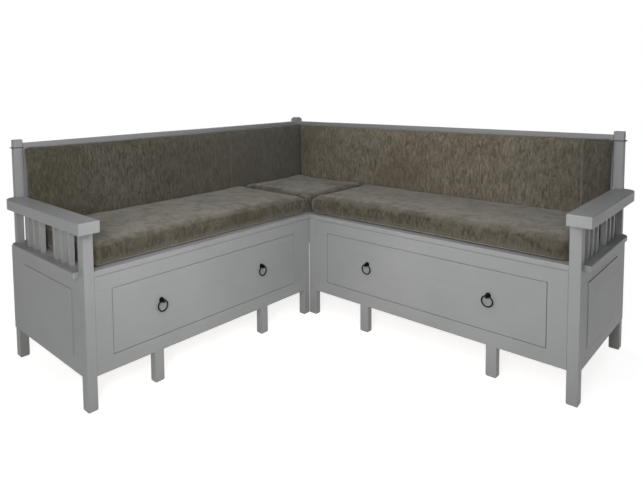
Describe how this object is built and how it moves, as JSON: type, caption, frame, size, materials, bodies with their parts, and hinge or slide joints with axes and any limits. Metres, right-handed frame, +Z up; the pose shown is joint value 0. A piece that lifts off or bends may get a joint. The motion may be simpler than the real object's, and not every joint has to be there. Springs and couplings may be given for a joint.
{
  "type": "corner storage bench",
  "caption": "L-shaped corner bench with upholstered seat and back, slatted arms at both ends and a wide drawer with ring pulls under each wing.",
  "frame": {"origin": "middle of the plan, on the floor", "axes": "+Z up; the back corner is at -X +Y; the right wing runs along +X and faces -Y, the left wing runs along -Y and faces +X"},
  "size_m": [1.563, 1.563, 0.78],
  "materials": {
    "paint": "satin pale grey paint on wood",
    "board": "birch plywood",
    "upholstery": "grey-brown chenille with a short pile",
    "black_iron": "black",
    "cord": "dark cord"
  },
  "bodies": {
    "frame": {"armrest_left": "paint", "armrest_right": "paint", "back_board_left": "paint", "back_board_right": "paint", "back_cushion_left": "upholstery", "back_cushion_right": "upholstery", "back_post_left": "paint", "back_post_right": "paint", "back_rail_left": "paint", "back_rail_right": "paint", "box_bottom_left": "board", "box_bottom_right": "board", "corner_board": "paint", "corner_cushion": "upholstery", "corner_post": "paint", "divider_left": "paint", "divider_right": "paint", "drawer_bearers_left": "board", "drawer_bearers_right": "board", "end_board_left": "paint", "end_board_right": "paint", "face_bottom_rail_left": "paint", "face_bottom_rail_right": "paint", "face_stiles_left": "paint", "face_stiles_right": "paint", "face_top_rail_left": "paint", "face_top_rail_right": "paint", "front_post_left": "paint", "front_post_right": "paint", "inner_post_left": "paint", "inner_post_right": "paint", "rear_panel_left": "paint", "rear_panel_right": "paint", "rear_post_left": "paint", "rear_post_right": "paint", "rear_rail_left": "board", "rear_rail_right": "board", "seat_board_left": "paint", "seat_board_right": "paint", "seat_cushion_left": "upholstery", "seat_cushion_right": "upholstery", "short_legs_left": "paint", "short_legs_right": "paint", "slats_left": "paint", "slats_right": "paint", "tie_left": "cord", "tie_right": "cord"},
    "drawer_right": {"drawer_front_right": "paint", "drawer_walls_right": "board", "drawer_bottom_right": "board", "pull_eyes_right": "black_iron"},
    "pull_ring_inner_right": {"ring_inner_right": "black_iron"},
    "pull_ring_outer_right": {"ring_outer_right": "black_iron"},
    "drawer_left": {"drawer_front_left": "paint", "drawer_walls_left": "board", "drawer_bottom_left": "board", "pull_eyes_left": "black_iron"},
    "pull_ring_inner_left": {"ring_inner_left": "black_iron"},
    "pull_ring_outer_left": {"ring_outer_left": "black_iron"}
  },
  "joints": [
    {"name": "drawer_slide_right", "type": "slide", "parent": "frame", "child": "drawer_right", "axis": [0, -1, 0], "range_m": [0, 0.38]},
    {"name": "ring_hinge_inner_right", "type": "hinge", "parent": "drawer_right", "child": "pull_ring_inner_right", "pos_m": [0.027, 0.2475, 0.268], "axis": [-1, 0, 0], "range_deg": [0, 110]},
    {"name": "ring_hinge_outer_right", "type": "hinge", "parent": "drawer_right", "child": "pull_ring_outer_right", "pos_m": [0.482, 0.2475, 0.268], "axis": [-1, 0, 0], "range_deg": [0, 110]},
    {"name": "drawer_slide_left", "type": "slide", "parent": "frame", "child": "drawer_left", "axis": [-1, 0, 0], "range_m": [-0.38, 0]},
    {"name": "ring_hinge_inner_left", "type": "hinge", "parent": "drawer_left", "child": "pull_ring_inner_left", "pos_m": [-0.2475, -0.027, 0.268], "axis": [0, -1, 0], "range_deg": [0, 110]},
    {"name": "ring_hinge_outer_left", "type": "hinge", "parent": "drawer_left", "child": "pull_ring_outer_left", "pos_m": [-0.2475, -0.482, 0.268], "axis": [0, -1, 0], "range_deg": [0, 110]}
  ]
}
